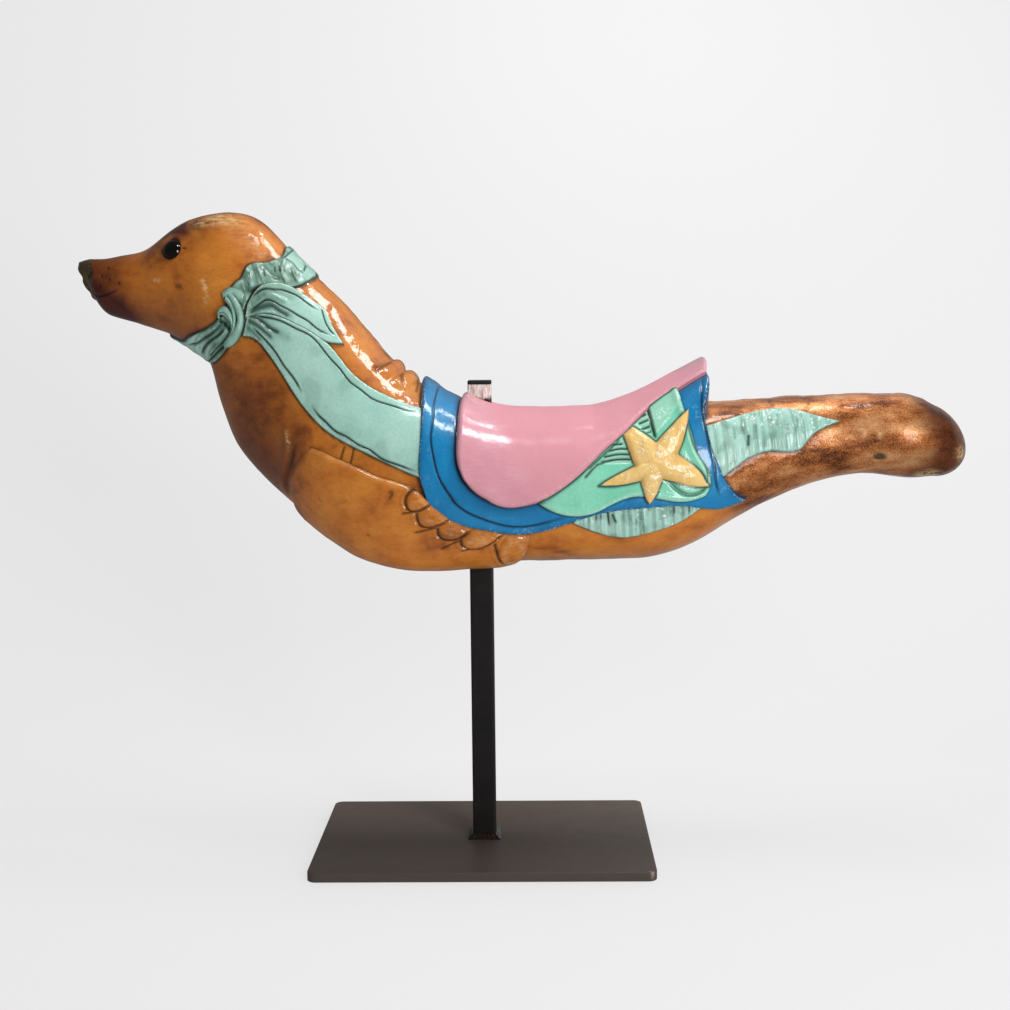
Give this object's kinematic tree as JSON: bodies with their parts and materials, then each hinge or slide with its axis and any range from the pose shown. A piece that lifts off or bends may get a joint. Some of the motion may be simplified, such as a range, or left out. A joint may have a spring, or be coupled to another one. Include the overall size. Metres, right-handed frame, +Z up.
{
  "type": "carousel seal",
  "caption": "Carved and painted wooden carousel seal with a saddle, blanket and knotted scarf, on a square post welded to a flat steel base plate",
  "frame": {"origin": "centre of the underside of the base plate, under the middle of the post", "axes": "+Z up along the post; -X the way the seal faces; -Y the near side, which carries the scarf knot, its two tails and the starfish; +Y the plainer far side"},
  "size_m": [1.1908, 0.3048, 0.872],
  "materials": {
    "varnished_wood": "carved wood stained brown under gloss varnish",
    "mint_paint": "pale green paint on carved wood, dark glaze in the folds, gloss varnish",
    "blue_paint": "blue paint on carved wood, gloss varnish",
    "pink_paint": "pink paint on carved wood, gloss varnish",
    "green_paint": "sea-green paint on carved wood, gloss varnish",
    "yellow_paint": "yellow paint on carved wood, gloss varnish",
    "black_glass": "opaque black glass, polished",
    "black_powder_coat": "black powder coat, satin, with handling marks",
    "black_weld": "weld bead under gloss black paint",
    "black_plastic": "black moulded plastic"
  },
  "bodies": {
    "root": {"seal_figure": "varnished_wood", "eye_near": "black_glass", "eye_far": "black_glass", "base_plate": "black_powder_coat", "stand_post": "black_powder_coat", "weld_bead": "black_weld", "post_cap": "black_plastic"}
  },
  "joints": []
}
